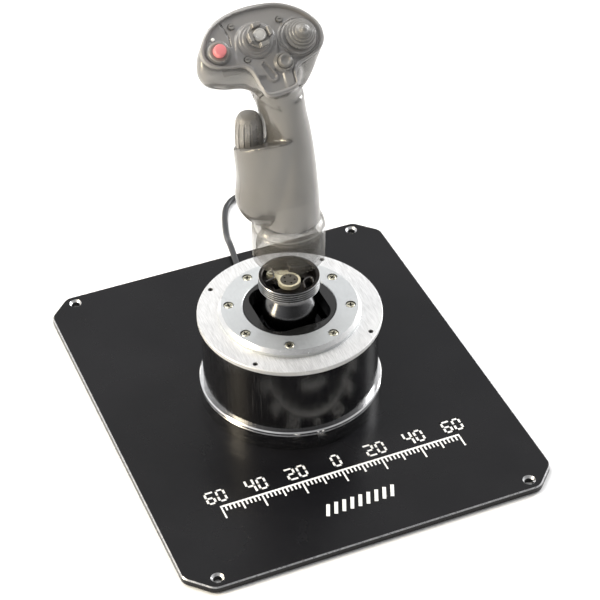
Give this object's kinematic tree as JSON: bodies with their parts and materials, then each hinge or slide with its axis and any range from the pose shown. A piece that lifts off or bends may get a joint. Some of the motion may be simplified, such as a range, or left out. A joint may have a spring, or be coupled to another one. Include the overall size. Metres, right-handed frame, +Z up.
{
  "type": "flight joystick",
  "caption": "Flight joystick: right-hand grip with hats, buttons and trigger, raised above a threaded stick on a round gimbal base fixed to a rectangular plate, with a USB lead.",
  "frame": {"origin": "base axis at desk level, under the middle of the plate", "axes": "+Z up along the stick, +Y away from the pilot, +X to the pilot's right"},
  "size_m": [0.228, 0.3341, 0.2628],
  "materials": {
    "plate_black": "satin black enamel with bright edges",
    "foot_rubber": "matte",
    "dark_screws": "blackened steel",
    "skirt_metal": "dark polished",
    "bead_chrome": "polished",
    "gloss_black": "gloss black",
    "brushed_ring": "brushed",
    "satin_disc": "fine satin",
    "pale_screws": "pale zinc",
    "gate_black": "black anodised",
    "inner_aluminium": "machined",
    "circuit_board": "solder mask",
    "cord_black": "PVC",
    "tie_fabric": "hook and loop",
    "spring_steel": "ground",
    "dark_chrome": "polished",
    "collar_metal": "turned",
    "bracket_cream": "satin",
    "socket_black": "satin",
    "grip_smoke": "see-through smoke",
    "grip_smoke_light": "see-through smoke, fainter",
    "face_screw_grey": "satin",
    "inner_nylon": "natural nylon",
    "hat_grey": "satin",
    "button_red": "gloss red"
  },
  "bodies": {
    "base": {"base_plate": "plate_black", "rubber_feet": "foot_rubber", "base_screws": "dark_screws", "skirt_ring": "skirt_metal", "bead_ring": "bead_chrome", "housing_cylinder": "gloss_black", "top_ring": "brushed_ring", "retainer_disc": "satin_disc", "disc_screws": "pale_screws", "ring_screws": "dark_screws", "gate_insert": "gate_black", "base_floor": "inner_aluminium", "pivot_frame": "inner_aluminium", "hall_board": "circuit_board", "centring_spring_1": "spring_steel", "centring_spring_2": "spring_steel", "centring_spring_3": "spring_steel", "centring_spring_4": "spring_steel", "cable_gland": "cord_black", "usb_cord_lead": "cord_black", "usb_cord_tail": "cord_black", "usb_cord_coil": "cord_black", "coil_tie": "tie_fabric", "usb_plug": "cord_black"},
    "gimbal": {"gimbal_ring": "inner_aluminium", "pitch_pins": "spring_steel"},
    "stick": {"pivot_hub": "inner_aluminium", "roll_pins": "spring_steel", "spring_cross": "inner_aluminium", "sensor_magnet": "spring_steel", "stick_dome": "dark_chrome", "threaded_collar": "collar_metal", "connector_bracket": "bracket_cream", "din_socket": "socket_black", "connector_screw": "pale_screws"},
    "grip": {"grip_core": "grip_smoke_light", "din_plug": "inner_nylon", "handle_rear_shell": "grip_smoke", "handle_front_shell": "grip_smoke", "lever_pins": "spring_steel", "head_shell": "grip_smoke", "face_plate": "grip_smoke", "face_screws": "face_screw_grey", "grip_board": "inner_nylon"},
    "nut_thrust_washer": {"slip_washer": "inner_nylon"},
    "nut": {"lock_nut": "grip_smoke_light"},
    "trigger": {"trigger": "grip_smoke"},
    "pinky_lever": {"pinky_lever": "grip_smoke"},
    "trim_rocker": {"trim_rocker": "inner_nylon"},
    "trim_hat": {"trim_hat": "hat_grey"},
    "castle_rocker": {"castle_rocker": "inner_nylon"},
    "castle_hat": {"castle_hat": "hat_grey"},
    "side_rocker": {"side_rocker": "inner_nylon"},
    "side_hat": {"side_hat": "hat_grey"},
    "weapon_button": {"weapon_button": "button_red"},
    "thumb_button": {"thumb_button": "hat_grey"}
  },
  "joints": [
    {"name": "stick_pitch", "type": "hinge", "parent": "base", "child": "gimbal", "pos_m": [0, 0, 0.05], "axis": [1, 0, 0], "range_deg": [-17, 17], "stiffness_Nm_per_rad": 4, "deforming": ["centring_spring_1", "centring_spring_2", "centring_spring_3", "centring_spring_4"]},
    {"name": "stick_roll", "type": "hinge", "parent": "gimbal", "child": "stick", "pos_m": [0, 0, 0.05], "axis": [0, 1, 0], "range_deg": [-17, 17], "stiffness_Nm_per_rad": 4},
    {"name": "grip_lift", "type": "slide", "parent": "stick", "child": "grip", "axis": [0, 0, 1], "range_m": [-0.016, 0]},
    {"name": "nut_turn", "type": "hinge", "parent": "grip", "child": "nut_thrust_washer", "pos_m": [0, 0, 0.112], "axis": [0, 0, 1], "range_deg": [-1440, 0]},
    {"name": "nut_drop", "type": "slide", "parent": "nut_thrust_washer", "child": "nut", "axis": [0, 0, 1], "range_m": [-0.006, 0]},
    {"name": "weapon_button_press", "type": "slide", "parent": "grip", "child": "weapon_button", "axis": [0, 0.6428, -0.766], "range_m": [0, 0.003], "stiffness_N_per_m": 500, "springref_m": -0.001},
    {"name": "thumb_button_press", "type": "slide", "parent": "grip", "child": "thumb_button", "axis": [0, 0.6428, -0.766], "range_m": [0, 0.002], "stiffness_N_per_m": 500, "springref_m": -0.001},
    {"name": "trigger_pull", "type": "hinge", "parent": "grip", "child": "trigger", "pos_m": [0, 0.032, 0.2145], "axis": [-1, 0, 0], "range_deg": [0, 14], "stiffness_Nm_per_rad": 0.35, "springref_deg": -8.59},
    {"name": "pinky_lever_pull", "type": "hinge", "parent": "grip", "child": "pinky_lever", "pos_m": [0, 0.0286, 0.164], "axis": [-1, 0, 0], "range_deg": [0, 8], "stiffness_Nm_per_rad": 0.35, "springref_deg": -8.59},
    {"name": "trim_fore_aft", "type": "hinge", "parent": "grip", "child": "trim_rocker", "pos_m": [0.0106, 0.00984, 0.24555], "axis": [1, 0, 0], "range_deg": [-8, 8], "stiffness_Nm_per_rad": 0.12},
    {"name": "trim_side", "type": "hinge", "parent": "trim_rocker", "child": "trim_hat", "pos_m": [0.0106, 0.00984, 0.24555], "axis": [0, 0.766, 0.6428], "range_deg": [-8, 8], "stiffness_Nm_per_rad": 0.12},
    {"name": "castle_fore_aft", "type": "hinge", "parent": "grip", "child": "castle_rocker", "pos_m": [-0.0125, 0.01259, 0.24786], "axis": [1, 0, 0], "range_deg": [-8, 8], "stiffness_Nm_per_rad": 0.12},
    {"name": "castle_side", "type": "hinge", "parent": "castle_rocker", "child": "castle_hat", "pos_m": [-0.0125, 0.01259, 0.24786], "axis": [0, 0.766, 0.6428], "range_deg": [-8, 8], "stiffness_Nm_per_rad": 0.12},
    {"name": "side_fore_aft", "type": "hinge", "parent": "grip", "child": "side_rocker", "pos_m": [-0.0194, 0.0102, 0.179], "axis": [1, 0, 0], "range_deg": [-5, 5], "stiffness_Nm_per_rad": 0.12},
    {"name": "side_side", "type": "hinge", "parent": "side_rocker", "child": "side_hat", "pos_m": [-0.0194, 0.0102, 0.179], "axis": [0, 1, 0], "range_deg": [-5, 5], "stiffness_Nm_per_rad": 0.12}
  ],
  "couplings": [
    {"joint": "nut_drop", "follows": "nut_turn", "m_per_rad": 0.00023873}
  ]
}
